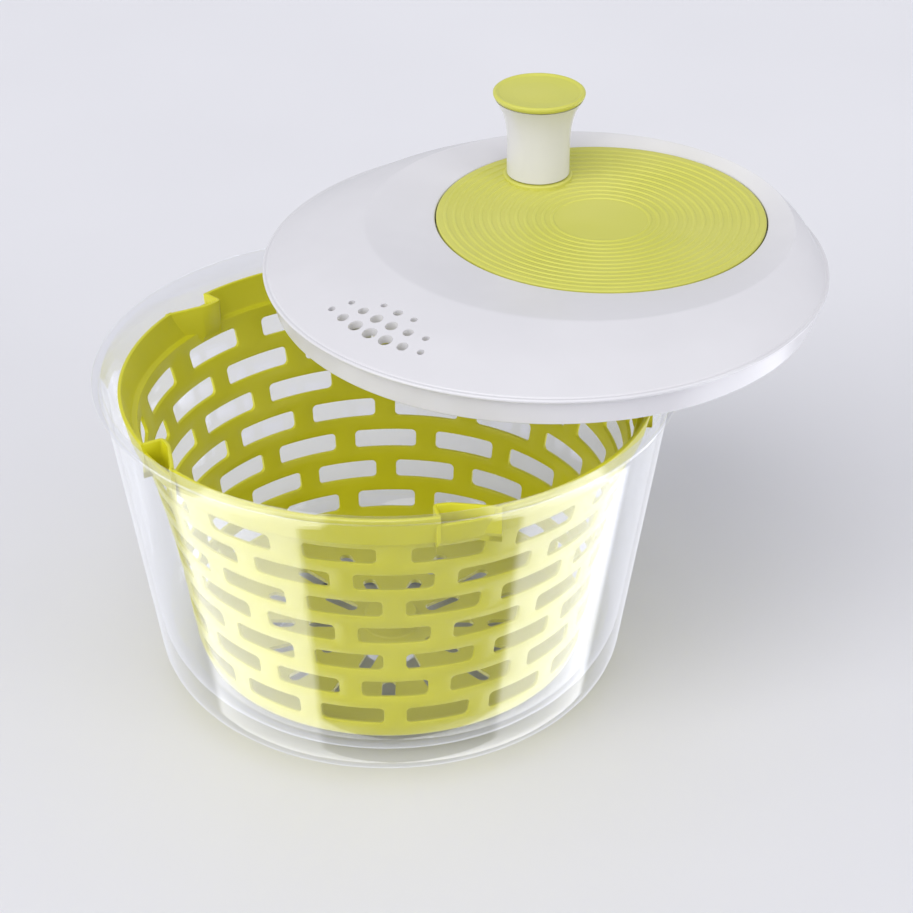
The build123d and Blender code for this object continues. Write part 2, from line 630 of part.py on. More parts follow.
def placed(location, piece):
    """A piece, or a group of like pieces, moved to where it sits."""
    if isinstance(piece, list):
        return Compound(children=[location * solid for single in piece for solid in single.solids()])
    solids = piece.solids()
    return location * (solids[0] if len(solids) == 1 else Compound(children=list(solids)))


os.makedirs("parts", exist_ok=True)
for name, location, make in PIECES:
    export_step(placed(location, make()), "parts/" + name + ".step")

# Joint places and couplings that follow from the dimensions above.
aside = hypot(*LID_ASIDE)
arc_r = (aside ** 2 + LID_LIFT ** 2) / (2 * aside)
swing = 180 - degrees(atan2(LID_LIFT, aside - arc_r))
ball = CRANK_POS.position + Vector(0, 0, BALL_Z)
along = Vector(LID_ASIDE[0], LID_ASIDE[1], 0) / aside
pivot = ball - along * (aside - arc_r) - Vector(0, 0, LID_LIFT)
print("carry pivot", pivot, "axis", Vector(0, 0, 1).cross(along), "range", swing)
print("ball", ball, "crank", CRANK_POS.position, "knob", KNOB_POS.position, "lid", LID_POS.position)
print("gear ratio", RING_TEETH / PINION_TEETH)
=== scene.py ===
from math import acos, ceil, cos, degrees, pi, radians, sin, sqrt, tan

import bmesh
import bpy
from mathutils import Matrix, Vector


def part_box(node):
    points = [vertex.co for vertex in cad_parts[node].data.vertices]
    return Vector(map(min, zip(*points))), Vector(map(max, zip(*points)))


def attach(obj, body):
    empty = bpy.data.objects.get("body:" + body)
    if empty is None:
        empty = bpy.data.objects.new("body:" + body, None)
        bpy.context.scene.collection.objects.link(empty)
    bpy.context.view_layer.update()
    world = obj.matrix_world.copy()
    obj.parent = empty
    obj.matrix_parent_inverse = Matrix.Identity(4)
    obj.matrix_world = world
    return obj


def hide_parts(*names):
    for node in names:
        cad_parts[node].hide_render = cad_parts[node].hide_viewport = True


# Salad spinner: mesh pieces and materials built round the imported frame.
# Lengths are in millimetres unless said otherwise, and every mesh is written out in metres.
# A turned profile lists (radius, height, corner rounding).

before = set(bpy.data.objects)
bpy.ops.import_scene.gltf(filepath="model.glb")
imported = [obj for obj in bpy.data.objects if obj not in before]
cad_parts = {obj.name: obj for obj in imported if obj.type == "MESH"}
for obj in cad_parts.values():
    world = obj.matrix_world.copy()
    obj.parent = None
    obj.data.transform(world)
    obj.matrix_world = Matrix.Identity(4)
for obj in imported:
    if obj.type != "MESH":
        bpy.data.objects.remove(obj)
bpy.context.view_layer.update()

MM = 0.001
TURN = 360.0

# --- bowl ---
BOWL_H = 151.0
RIM_R = 127.5
BOWL_WALL = 2.2
BOWL_TOP_R = 122.8
BOWL_TOP_Z = 142.0
BOWL_TOE_R = 101.5
BOWL_CORNER_R = 40.0
BOWL_FLOOR_Z = 3.6
BOSS_TOP_Z = 11.0
PIN_R = 2.5
PIN_DEPTH = 6.5
BOSS_R = 6.5
BOSS_FOOT_R = 10.0
PAD_R = 12.0
HOLLOW_Z = 1.0
FOOT_R = 51.0
FOOT_Z = 0.5
GRIP_R = (55.0, 62.0)
GROOVE_Z = 1.8
RIM_T = 2.6

# --- basket ---
BASKET_RIM_R = 116.8
BASKET_RIM_Z = 144.5
BASKET_BASE_Z = 13.0
BASKET_WALL = 1.8
COLLAR_Z = 130.0
COLLAR_LOW_R = 113.2
COLLAR_LEAN = 0.25
TAPER = (89.5, 10.5, 8.5)
TAPER_Z = (28.0, 95.0)
CORNER_PULL = 8.0
CORNER_POWER = 22
FLOOR_R = 44.0
BEARING_R = 7.06
BEARING_TOP_Z = 19.8
HUB_R = 12.0
HUB_TOP_Z = 22.0
FLOOR_SLOTS = ((10, 20.0, 38.0), (16, 44.0, 62.0))
FLOOR_SLOT_W = 6.0
SLOT_ROWS = 7
SLOTS_PER_ROW = 15
SLOT_AZ = 20.5
SLOT_TOP_Z = 121.5
SLOT_PITCH = 15.6
SLOT_H = 8.8
SLOT_WEB = 9.8
TOP_WEB = 14.5
SLOT_CORNER = 2.1
SLOT_LIP = 0.45
LIP_EASE = 0.29
CELL_COLUMNS = 12
CELL_ROWS = 6
CORNER_STEPS = 4
SCOOPS = 5
SCOOP_AZ = 281.0
SCOOP_DEPTH = 9.3
SCOOP_LENGTH = 28.0
SCOOP_NOTCH = 4.5
SCOOP_DEEP_R = BASKET_RIM_R - BASKET_WALL - SCOOP_DEPTH
SCOOP_STEP = 1.5
SCOOP_EDGE = 0.6
NOTCH_EDGE = 0.12

# --- lid, heights above the plane that seats on the rim ---
SKIRT_H = 12.0
SKIRT_R = (120.6, 119.4)
SKIRT_WALL = 1.8
LID_R = 124.0
LID_LEDGE_Z = 2.2
DOME_R = 121.8
DISH_R = 95.4
DISH_OFFSET = 25.0
DISH_Z = 12.0
CRANK_AZ = 52.0
CRANK_OFFSET = 42.0
WELL_R = 74.6
WELL_Z = 7.4
WELL_LOW_Z = -3.8
WELL_OUT_R = 76.6
SIEVE_AZ = 225.0
SIEVE_ROWS = ((106.0, (3.2, 5.0, 6.3, 6.6, 6.2, 5.0, 3.2)),
              (97.8, (3.0, 4.6, 5.6, 5.6, 4.6, 3.2)),
              (89.6, (3.0, 4.2, 3.2)))
SIEVE_PITCH = 9.0
SIEVE_CUT_Z = (0.5, 15.0)

# --- crank disc and knob ---
DISC_R = 74.1
DISC_MID_Z = 5.6
DISC_RIM_Z = 8.0
DISC_BACK_Z = 3.4
DISC_EDGE_T = 2.4
DISC_LIP_R = 69.0
CRANK_HUB_R = 9.0
CRANK_HUB_LOW_Z = -12.0
FLANGE_R = 11.5
FLANGE_Z = (-4.4, -6.4)
BUSH_R = 6.5
AXLE_SEAT_Z = -2.33
BALL_SEAT_R = 3.06
BALL_SEAT_Z = 3.55
RIDGES = 13
RIDGE_FIRST_R = 22.0
RIDGE_PITCH = 4.0
RIDGE_H = 0.45
PAD_TOP_Z = 8.2
STEM_R = 14.6
SLEEVE_GAP = 0.4
SLEEVE_WALL = 2.0
FLARE_FROM = 0.215
FLARE_OUT = 5.8
FLARE_POWER = 3.5
KNOB_BORE_R = (4.1, 6.2)
KNOB_BORE_Z = (12.6, 36.3)
CAP_R = 21.2
CAP_T = 3.2
CAP_RING_R = (14.2, 15.7)
KNOB_H = 41.0

# --- mesh fineness ---
SEGMENTS = 240
DISC_SEGMENTS = 210
KNOB_SEGMENTS = 120
PAD_SEGMENTS = 96
BORE_SEGMENTS = 48
HOLE_SEGMENTS = 32
SLEEVE_STEPS = 26
SHARP = radians(38)
DISC_SHARP = radians(60)

# --- materials: clear plastic ---
FACE_GLOSS = 0.05
EDGE_POWER = 5.0
CLEAR_TINT = (0.982, 0.984, 0.99, 1)

# --- stage: the floor is wide enough to fill the view behind the object from any side ---
FLOOR_HALF = 100000.0
PANEL_AZ = ((-109, -42), (66, 127))
PANEL_SOFT = 3.0
PANEL_GLOW = 3.0
WORLD_GLOW = 0.63
LOW_GLOW = 0.22
BACK_GLOW = 0.95
WORLD_TINT = (0.93, 0.94, 1.0, 1)

# --- camera, in metres and degrees ---
CAMERA_DISTANCE = 1.2
CAMERA_ELEVATION = 31.0
LENS = 105.0
AIM = (0.030, 0.020, 0.092)


def middle(node):
    """Centre of a node's box in millimetres."""
    low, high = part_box(node)
    return (low + high) / 2 / MM


LID_AT = middle("lid_shell")
SEAT_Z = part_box("lid_shell")[0].z / MM + SKIRT_H
CRANK_AT = middle("crank_disc")
KNOB_AT = middle("knob_cap")
BOWL_AT = middle("bowl")


def polar(radius, azimuth, z=0.0):
    """Point at a radius and an azimuth in degrees."""
    return Vector((radius * cos(radians(azimuth)), radius * sin(radians(azimuth)), z))


# --- mesh helpers ---

def rounded(corners, closed=False):
    """Path through corners, each given as its coordinates and then its rounding radius."""
    path = []
    count = len(corners)
    for i, corner in enumerate(corners):
        at = Vector(corner[:-1])
        radius = corner[-1]
        if radius <= 0 or (not closed and i in (0, count - 1)):
            path.append(at)
            continue
        back = Vector(corners[i - 1][:-1]) - at
        ahead = Vector(corners[(i + 1) % count][:-1]) - at
        half = acos(max(-1, min(1, back.normalized().dot(ahead.normalized())))) / 2
        if half > radians(89):
            path.append(at)
            continue
        leg = min(radius / tan(half), 0.49 * back.length, 0.49 * ahead.length)
        start = at + back.normalized() * leg
        end = at + ahead.normalized() * leg
        steps = max(3, ceil((180 - degrees(2 * half)) / 9))
        weight = sin(half)
        for k in range(steps + 1):
            t = k / steps
            a, b, c = (1 - t) ** 2, 2 * weight * t * (1 - t), t ** 2
            path.append((start * a + at * b + end * c) / (a + b + c))
    return path


def mesh_object(name, bm, smooth_angle=SHARP):
    """New object from a bmesh in millimetres, smooth apart from its sharp edges."""
    bmesh.ops.scale(bm, vec=Vector((MM, MM, MM)), verts=bm.verts)
    mesh = bpy.data.meshes.new(name)
    bm.to_mesh(mesh)
    bm.free()
    mesh.shade_smooth()
    mesh.set_sharp_from_angle(angle=smooth_angle)
    piece = bpy.data.objects.new(name, mesh)
    bpy.context.scene.collection.objects.link(piece)
    return piece


def add_rings(bm, rings, at, closed=False, segments=SEGMENTS, direction=CRANK_AZ):
    """Skin through level circles, each (shift along a direction, radius, height), about a centre."""
    loops = []
    for shift, radius, z in rings:
        centre = polar(shift, direction)
        centre = Vector((at[0] + centre.x, at[1] + centre.y, at[2] + z))
        if radius < 1e-6:
            loops.append([bm.verts.new(centre)])
            continue
        loops.append([bm.verts.new(centre + polar(radius, TURN * j / segments)) for j in range(segments)])
    pairs = list(zip(loops, loops[1:] + loops[:1]))
    for low, high in pairs if closed else pairs[:-1]:
        join_loops(bm, low, high)


def join_loops(bm, low, high):
    """Faces between two closed loops of one length, or a fan where one is a single point."""
    count = max(len(low), len(high))
    for j in range(count):
        k = (j + 1) % count
        if len(low) == 1:
            bm.faces.new((low[0], high[k], high[j]))
        elif len(high) == 1:
            bm.faces.new((low[j], low[k], high[0]))
        else:
            bm.faces.new((low[j], low[k], high[k], high[j]))


def add_turned(bm, corners, at, closed=False, segments=SEGMENTS):
    """Skin turned about an upright axis from (radius, z, rounding) corners."""
    rings = [(0.0, p[0], p[1]) for p in rounded(corners, closed)]
    add_rings(bm, rings, at, closed, segments)


def outward(bm):
    """Turn every face's normal to the outside."""
    bmesh.ops.recalc_face_normals(bm, faces=bm.faces)


def cut(piece, cutter):
    """Take one mesh out of another for good."""
    modifier = piece.modifiers.new("cut", "BOOLEAN")
    modifier.operation = "DIFFERENCE"
    modifier.solver = "EXACT"
    modifier.object = cutter
    depsgraph = bpy.context.evaluated_depsgraph_get()
    mesh = bpy.data.meshes.new_from_object(piece.evaluated_get(depsgraph))
    piece.modifiers.clear()
    old = piece.data
    piece.data = mesh
    bpy.data.meshes.remove(old)
    spare = cutter.data
    bpy.data.objects.remove(cutter)
    bpy.data.meshes.remove(spare)
    mesh.shade_smooth()
    mesh.set_sharp_from_angle(angle=SHARP)
    mesh.name = piece.name


# --- bowl ---

def bowl_wall_r(z):
    """Outer radius of the bowl's straight wall at a height."""
    return BOWL_TOE_R + (BOWL_TOP_R - BOWL_TOE_R) * z / BOWL_TOP_Z


def make_bowl():
    """Clear bowl with a foot, a groove for the grip ring, a drafted wall and a flared rim."""
    groove_in, groove_out = GRIP_R
    inner_toe_r = bowl_wall_r(BOWL_FLOOR_Z) - BOWL_WALL
    inner_top_r = BOWL_TOP_R - BOWL_WALL
    pin_low_z = BOSS_TOP_Z - PIN_DEPTH
    underside = ((0, 0, 0), (PAD_R, 0, 0.6), (PAD_R + 1, HOLLOW_Z, 0.6), (FOOT_R, HOLLOW_Z, 0.4),
                 (FOOT_R + 0.5, FOOT_Z, 0.4), (groove_in, FOOT_Z, 0.2), (groove_in, GROOVE_Z, 0.2),
                 (groove_out, GROOVE_Z, 0.2), (groove_out, FOOT_Z, 0.2))
    outside = ((BOWL_TOE_R, FOOT_Z, BOWL_CORNER_R), (BOWL_TOP_R, BOWL_TOP_Z, 8),
               (BOWL_TOP_R + 1.8, BOWL_H - RIM_T - 0.8, 1.6), (RIM_R, BOWL_H - RIM_T, 0.9),
               (RIM_R, BOWL_H, 1.2))
    inside = ((inner_top_r + 2.9, BOWL_H, 0.9), (inner_top_r, BOWL_TOP_Z, 10),
              (inner_toe_r, BOWL_FLOOR_Z, BOWL_CORNER_R - BOWL_WALL), (BOSS_FOOT_R, BOWL_FLOOR_Z, 2),
              (BOSS_R, BOSS_TOP_Z, 0.8), (PIN_R, BOSS_TOP_Z, 0.4), (PIN_R, pin_low_z, 0), (0, pin_low_z, 0))
    bm = bmesh.new()
    add_turned(bm, underside + outside + inside, (BOWL_AT.x, BOWL_AT.y, 0))
    outward(bm)
    piece = mesh_object("bowl_clear", bm)
    piece.visible_shadow = False
    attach(piece, "bowl")
    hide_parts("bowl")
    return piece


# --- basket ---

COLUMNS = SLOTS_PER_ROW * CELL_COLUMNS
COLUMN_STEP = TURN / COLUMNS
CELL_STEP = TURN / SLOTS_PER_ROW
FIRST_AZ = SLOT_AZ - CELL_STEP / 2


def basket_r(z):
    """Outer radius of the slotted wall at a height: a flared taper over a rounded base corner."""
    up = (z - TAPER_Z[0]) / TAPER_Z[1]
    down = min(1.0, (COLLAR_Z - z) / (COLLAR_Z - BASKET_BASE_Z))
    flared = TAPER[0] + TAPER[1] * up + TAPER[2] * up ** 2
    return flared - CORNER_PULL * (1 - sqrt(max(0.0, 1 - down ** CORNER_POWER)))


def notch_spans():
    """Azimuths between which the collar's top is cut down in front of each scoop."""
    span = degrees(SCOOP_LENGTH / BASKET_RIM_R)
    skew = degrees(BASKET_WALL / BASKET_RIM_R)
    starts = [(SCOOP_AZ + TURN * i / SCOOPS) % TURN for i in range(SCOOPS)]
    return [(start + skew, start + span - 2 * skew) for start in starts]


class Shell:
    """Shared corners of the basket's skin, found again by column, radius and height."""

    def __init__(self):
        self.bm = bmesh.new()
        self.found = {}

    def corner(self, azimuth, radius, z):
        """The vertex at an azimuth, radius and height, made on first use."""
        key = (round(azimuth % TURN, 3), round(radius, 3), round(z, 3))
        if key not in self.found:
            self.found[key] = self.bm.verts.new(polar(radius, azimuth, z))
        return self.found[key]

    def ring(self, radius, z):
        """A level ring of corners, one for each column."""
        return [self.corner(FIRST_AZ + j * COLUMN_STEP, radius, z) for j in range(COLUMNS)]

    def rim_ring(self, radius, z):
        """A ring in the collar's upper part, which steps down at each scoop's notch."""
        ring = []
        for j in range(COLUMNS):
            azimuth, drop = notched(FIRST_AZ + j * COLUMN_STEP)
            ring.append(self.corner(azimuth, radius - drop * COLLAR_LEAN, z - drop))
        return ring


def notched(azimuth):
    """Azimuth moved to a notch's edge where one is near, and the drop of the rim there."""
    for start, end in notch_spans():
        for side, turn in ((start, 1), (end, -1)):
            off = (azimuth - side + 180) % TURN - 180
            if -COLUMN_STEP < off * turn <= 0:
                return side - turn * NOTCH_EDGE, 0.0
            if 0 < off * turn <= COLUMN_STEP:
                return side + turn * NOTCH_EDGE, SCOOP_NOTCH
        if (azimuth - start) % TURN < end - start:
            return azimuth, SCOOP_NOTCH
    return azimuth, 0.0


def slot_loop(half_length, half_height, corner, grow):
    """Rounded slot outline about its centre as (along, up), with a fixed number of points."""
    half_length += grow
    half_height += grow
    corner += grow
    quarter = CORNER_STEPS // 2
    loop = []
    sides = (((-1, -1), (1, 0), CELL_COLUMNS, half_length), ((1, -1), (0, 1), CELL_ROWS, half_height),
             ((1, 1), (-1, 0), CELL_COLUMNS, half_length), ((-1, 1), (0, -1), CELL_ROWS, half_height))
    for (sx, sy), (dx, dy), steps, half in sides:
        straight = steps - CORNER_STEPS
        hub = Vector((sx * (half_length - corner), sy * (half_height - corner)))
        along = Vector((dx, dy))
        out = Vector((dy, -dx))
        for k in range(quarter):
            turn = radians(45 + 90 * k / CORNER_STEPS)
            loop.append(hub + corner * (out * sin(turn) - along * cos(turn)))
        for k in range(straight + 1):
            loop.append(hub + out * corner + along * (2 * (half - corner) * k / straight))
        far = hub + along * 2 * (half - corner)
        for k in range(1, quarter):
            turn = radians(90 * k / CORNER_STEPS)
            loop.append(far + corner * (out * cos(turn) + along * sin(turn)))
    return loop


def cell_border(row, index):
    """Azimuths and heights round a slot's cell, in the order of slot_loop."""
    z = SLOT_TOP_Z - SLOT_PITCH * row
    low, high = z - SLOT_PITCH / 2, z + SLOT_PITCH / 2
    start = FIRST_AZ + (index + 0.5 * (row % 2)) * CELL_STEP
    end = start + CELL_STEP
    rise = SLOT_PITCH / CELL_ROWS
    border = [(start + k * COLUMN_STEP, low) for k in range(CELL_COLUMNS)]
    border += [(end, low + k * rise) for k in range(CELL_ROWS)]
    border += [(end - k * COLUMN_STEP, high) for k in range(CELL_COLUMNS)]
    border += [(start, high - k * rise) for k in range(CELL_ROWS)]
    return border


def add_cell(shell, row, index):
    """One slot with its rounded lips, from the outer skin through the wall to the inner one."""
    z = SLOT_TOP_Z - SLOT_PITCH * row
    radius = basket_r(z)
    length = 2 * pi * radius / SLOTS_PER_ROW - (SLOT_WEB if row else TOP_WEB)
    centre = SLOT_AZ + (index + 0.5 * (row % 2)) * CELL_STEP
    border = cell_border(row, index)
    loops = [[shell.corner(a, basket_r(h), h) for a, h in border]]
    lip = SLOT_LIP
    eased = lip * LIP_EASE
    for grow, depth in ((lip, 0), (eased, eased), (0, lip), (0, BASKET_WALL - lip),
                        (eased, BASKET_WALL - eased), (lip, BASKET_WALL)):
        outline = slot_loop(length / 2, SLOT_H / 2, SLOT_CORNER, grow)
        loops.append([shell.corner(centre + degrees(p.x / radius), basket_r(z + p.y) - depth, z + p.y)
                      for p in outline])
    loops.append([shell.corner(a, basket_r(h) - BASKET_WALL, h) for a, h in border])
    for low, high in zip(loops, loops[1:]):
        join_loops(shell.bm, low, high)


def scoop_path():
    """Plan of a scoop's inner face as (distance round the rim, radius) from its blunt end."""
    deep = SCOOP_DEEP_R
    path = rounded(((0.0, 115.6, 0), (0.0, deep, 2.4), (8.5, deep, 16), (20, deep + 5.4, 30),
                    (SCOOP_LENGTH, 115.8, 0)))
    fine = []
    for a, b in zip(path, path[1:]):
        steps = max(1, ceil((b - a).length / SCOOP_STEP))
        fine += [a + (b - a) * k / steps for k in range(steps)]
    return fine + [path[-1]]


def add_scoop(bm, index):
    """Pocket wall bulging in from the collar, with its floor and a sloping underside."""
    path = scoop_path()
    start = SCOOP_AZ + TURN * index / SCOOPS
    ledge_z = COLLAR_Z + BASKET_WALL + 0.05
    edge_z = BASKET_RIM_Z - SCOOP_EDGE
    sections = []
    for i, p in enumerate(path):
        along = (path[min(i + 1, len(path) - 1)] - path[max(i - 1, 0)]).normalized()
        q = p + Vector((-along.y, along.x)) * BASKET_WALL
        slope_z = max(126.5, 134 - 3.8 * (p.y - SCOOP_DEEP_R)) if p.y < 107.8 else 129.0
        lip = [(*(p + (q - p) * s), edge_z + SCOOP_EDGE * rise)
               for s, rise in ((0.1, 0.7), (0.3, 1), (0.7, 1), (0.9, 0.7))]
        section = ((p.x, max(p.y, 108.1), 127.0), (p.x, p.y, slope_z), (p.x, p.y, edge_z), *lip,
                   (q.x, q.y, edge_z), (q.x, q.y, ledge_z), (q.x, max(q.y, 112.4), ledge_z),
                   (p.x, max(p.y, 112.6), 129.4))
        sections.append([bm.verts.new(polar(r, start + degrees(u / BASKET_RIM_R), z)) for u, r, z in section])
    for low, high in zip(sections, sections[1:]):
        join_loops(bm, low, high)
    bm.faces.new(sections[0])
    bm.faces.new(sections[-1])


def floor_cutter():
    """Round-ended prisms for the radial slots in the basket's floor."""
    bm = bmesh.new()
    half = FLOOR_SLOT_W / 2
    for count, low, high in FLOOR_SLOTS:
        for i in range(count):
            turn = TURN * i / count
            outline = []
            for centre, first in ((high - half, -90), (low + half, 90)):
                outline += [Vector((centre, 0, 0)) + polar(half, first + 180 * k / 8) for k in range(9)]
            loops = []
            for z in (BASKET_BASE_Z - 1, BASKET_BASE_Z + 3):
                turned = [polar(p.length, turn + degrees(p.y / p.length), z) for p in outline]
                loops.append([bm.verts.new(at) for at in turned])
            join_loops(bm, *loops)
            bm.faces.new(loops[0])
            bm.faces.new(loops[1])
    outward(bm)
    return mesh_object("floor_cutter", bm)


def base_rings(shell):
    """Rings of the outer skin under the basket, from the bearing's bore out to the lowest slots."""
    bottom = SLOT_TOP_Z - SLOT_PITCH * (SLOT_ROWS - 0.5)
    rings = [shell.ring(BEARING_R, BEARING_TOP_Z), shell.ring(BEARING_R, BASKET_BASE_Z),
             shell.ring(FLOOR_R, BASKET_BASE_Z)]
    corner = rounded(((FLOOR_R, BASKET_BASE_Z, 0), (basket_r(bottom) - 2.7, BASKET_BASE_Z, 5.0),
                      (basket_r(bottom), bottom, 0)))
    return rings + [shell.ring(p.x, p.y) for p in corner[1:]]


def collar_rings(shell):
    """Rings from the highest slots out over the collar's stepped rim and back down inside."""
    top = SLOT_TOP_Z + SLOT_PITCH / 2
    neck = basket_r(COLLAR_Z)
    inner_low_z = COLLAR_Z + BASKET_WALL
    rings = [shell.ring(basket_r(top), top)]
    side = rounded(((basket_r(top), top, 0), (neck, COLLAR_Z - 0.2, 0.8), (COLLAR_LOW_R, COLLAR_Z, 1.0),
                    (BASKET_RIM_R - 1.1, BASKET_RIM_Z - SCOOP_NOTCH, 0)))
    rings += [shell.ring(p.x, p.y) for p in side[1:-1]]
    rings.append(shell.ring(115.1, 137.6))
    rim = rounded(((115.4, 139.0, 0), (BASKET_RIM_R, BASKET_RIM_Z, 0.7),
                   (BASKET_RIM_R - BASKET_WALL, BASKET_RIM_Z, 0.7), (113.7, 139.0, 0)))
    rings += [shell.rim_ring(p.x, p.y) for p in rim[1:-1]]
    inner = rounded(((113.3, 137.6, 0), (COLLAR_LOW_R - BASKET_WALL, inner_low_z, 1.0),
                     (neck - BASKET_WALL, inner_low_z - 0.4, 0.8), (basket_r(top) - BASKET_WALL, top, 0)))
    return rings + [shell.ring(p.x, p.y) for p in inner]


def basin_rings(shell):
    """Rings of the inner skin from the lowest slots across the floor and up over the hub."""
    bottom = SLOT_TOP_Z - SLOT_PITCH * (SLOT_ROWS - 0.5)
    floor_z = BASKET_BASE_Z + BASKET_WALL
    basin = rounded(((basket_r(bottom) - BASKET_WALL, bottom, 0), (basket_r(bottom) - 4.7, floor_z, 4.0),
                     (HUB_R, floor_z, 1.0), (HUB_R, HUB_TOP_Z, 1.0), (2, HUB_TOP_Z, 0)))
    return [shell.ring(p.x, p.y) for p in basin]


def add_scoops(piece):
    """Add the scoops' walls to the basket's mesh, each turned outside out."""
    bm = bmesh.new()
    bm.from_mesh(piece.data)
    bmesh.ops.scale(bm, vec=Vector((1 / MM, 1 / MM, 1 / MM)), verts=bm.verts)
    for index in range(SCOOPS):
        add_scoop(bm, index)
    bmesh.ops.recalc_face_normals(bm, faces=[f for f in bm.faces if not f.smooth])
    bmesh.ops.scale(bm, vec=Vector((MM, MM, MM)), verts=bm.verts)
    bm.to_mesh(piece.data)
    bm.free()
    piece.data.shade_smooth()
    piece.data.set_sharp_from_angle(angle=SHARP)


def make_basket():
    """Lime basket: slotted wall, stepped collar with scoops, slotted floor and a closed hub."""
    shell = Shell()
    under, over, inside = base_rings(shell), collar_rings(shell), basin_rings(shell)
    for rings in (under, over, inside):
        for low, high in zip(rings, rings[1:]):
            join_loops(shell.bm, low, high)
    join_loops(shell.bm, [shell.bm.verts.new((0, 0, BEARING_TOP_Z))], under[0])
    join_loops(shell.bm, inside[-1], [shell.bm.verts.new((0, 0, HUB_TOP_Z))])
    for row in range(SLOT_ROWS):
        for index in range(SLOTS_PER_ROW):
            add_cell(shell, row, index)
    outward(shell.bm)
    piece = mesh_object("basket_lime", shell.bm)
    cut(piece, floor_cutter())
    add_scoops(piece)
    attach(piece, "basket")
    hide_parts("basket")
    return piece


# --- lid ---

def sieve_cutter():
    """Rods for the pouring holes, in rows that follow the lid's edge."""
    low, high = SIEVE_CUT_Z
    bm = bmesh.new()
    for radius, diameters in SIEVE_ROWS:
        step = degrees(SIEVE_PITCH / radius)
        for i, diameter in enumerate(diameters):
            at = polar(radius, SIEVE_AZ + (i - (len(diameters) - 1) / 2) * step)
            centre = (LID_AT.x + at.x, LID_AT.y + at.y, SEAT_Z)
            rod = ((0, low, 0), (diameter / 2, low, 0), (diameter / 2, high, 0), (0, high, 0))
            add_turned(bm, rod, centre, segments=HOLE_SEGMENTS)
    outward(bm)
    return mesh_object("sieve_cutter", bm)


def make_lid():
    """White lid: skirt, stepped edge, domed rise to an off-centre crease, dish and crank well."""
    skirt_top, skirt_low = SKIRT_R
    upper = ((CRANK_OFFSET, WELL_R, WELL_LOW_Z, 0.2), (CRANK_OFFSET, WELL_R, WELL_Z, 0.9),
             (DISH_OFFSET, DISH_R, DISH_Z + 0.2, 5.0), (DISH_OFFSET / 2, 109.4, 8.3, 60),
             (0, DOME_R, LID_LEDGE_Z, 0.7), (0, DOME_R + 0.5, LID_LEDGE_Z - 0.5, 0.4),
             (0, LID_R, LID_LEDGE_Z - 0.3, 0.9), (0, LID_R, 0, 0.9))
    lower = ((0, skirt_top, 0, 0.3), (0, skirt_low, -SKIRT_H, 0.8),
             (0, skirt_low - SKIRT_WALL, -SKIRT_H, 0.8), (0, skirt_top - SKIRT_WALL, 0, 0.6),
             (DISH_OFFSET, DISH_R - 1, 9.8, 3.0),
             (CRANK_OFFSET, WELL_OUT_R, 5.2, 0.6), (CRANK_OFFSET, WELL_OUT_R, WELL_LOW_Z, 0.2))
    rings = rounded(upper + lower, closed=True)
    bm = bmesh.new()
    add_rings(bm, rings, (LID_AT.x, LID_AT.y, SEAT_Z), closed=True)
    outward(bm)
    piece = mesh_object("lid_white", bm)
    cut(piece, sieve_cutter())
    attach(piece, "lid")
    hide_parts("lid_shell")
    return piece


# --- crank disc and knob ---

def disc_top_z(radius):
    """Height of the disc's dished upper face, without its ridges."""
    return DISC_MID_Z + (DISC_RIM_Z - DISC_MID_Z) * (radius / DISC_R) ** 2


def ridge_corners():
    """Outline of the disc's upper face from its centre out: a shallow dish with fine ridges."""
    corners = [(0, DISC_MID_Z, 0)]
    corners += [(r, disc_top_z(r), 0) for r in (6, 12)]
    corners.append((RIDGE_FIRST_R - 3, disc_top_z(RIDGE_FIRST_R - 3), 4))
    for i in range(RIDGES):
        radius = RIDGE_FIRST_R + i * RIDGE_PITCH
        for shift, rise, ease in ((-1.0, 0, 0.5), (-0.45, RIDGE_H, 0.3), (0.45, RIDGE_H, 0.3), (1.0, 0, 0.5)):
            corners.append((radius + shift, disc_top_z(radius + shift) + rise, ease))
    return corners


def make_disc():
    """Lime crank disc with its hub below and the pad that the knob turns on."""
    edge_low_z = DISC_RIM_Z - DISC_EDGE_T
    flange_top, flange_low = FLANGE_Z
    edge = [(DISC_R, DISC_RIM_Z, 0.8), (DISC_R, edge_low_z, 0.5), (DISC_LIP_R, edge_low_z, 0.3),
            (DISC_LIP_R, DISC_BACK_Z, 0.3), (CRANK_HUB_R, DISC_BACK_Z, 0.5)]
    hub = [(CRANK_HUB_R, flange_top, 0.3), (FLANGE_R, flange_top, 0.3), (FLANGE_R, flange_low, 0.3),
           (CRANK_HUB_R, flange_low, 0.3), (CRANK_HUB_R, CRANK_HUB_LOW_Z, 0.4),
           (BUSH_R, CRANK_HUB_LOW_Z, 0.3), (BUSH_R, AXLE_SEAT_Z, 0), (BALL_SEAT_R, AXLE_SEAT_Z, 0),
           (BALL_SEAT_R, BALL_SEAT_Z, 0.5),
           (0, BALL_SEAT_Z, 0)]
    corners = ridge_corners() + edge + hub
    bm = bmesh.new()
    add_turned(bm, corners, (CRANK_AT.x, CRANK_AT.y, SEAT_Z), segments=DISC_SEGMENTS)
    pad_low_z = DISC_BACK_Z + 0.6
    pad_r = STEM_R + 1.4
    pad = ((0, pad_low_z, 0), (pad_r, pad_low_z, 0), (pad_r, PAD_TOP_Z, 0.7), (0, PAD_TOP_Z, 0))
    add_turned(bm, pad, (KNOB_AT.x, KNOB_AT.y, SEAT_Z), segments=PAD_SEGMENTS)
    outward(bm)
    piece = mesh_object("crank_lime", bm, DISC_SHARP)
    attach(piece, "crank")
    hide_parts("crank_disc")
    return piece


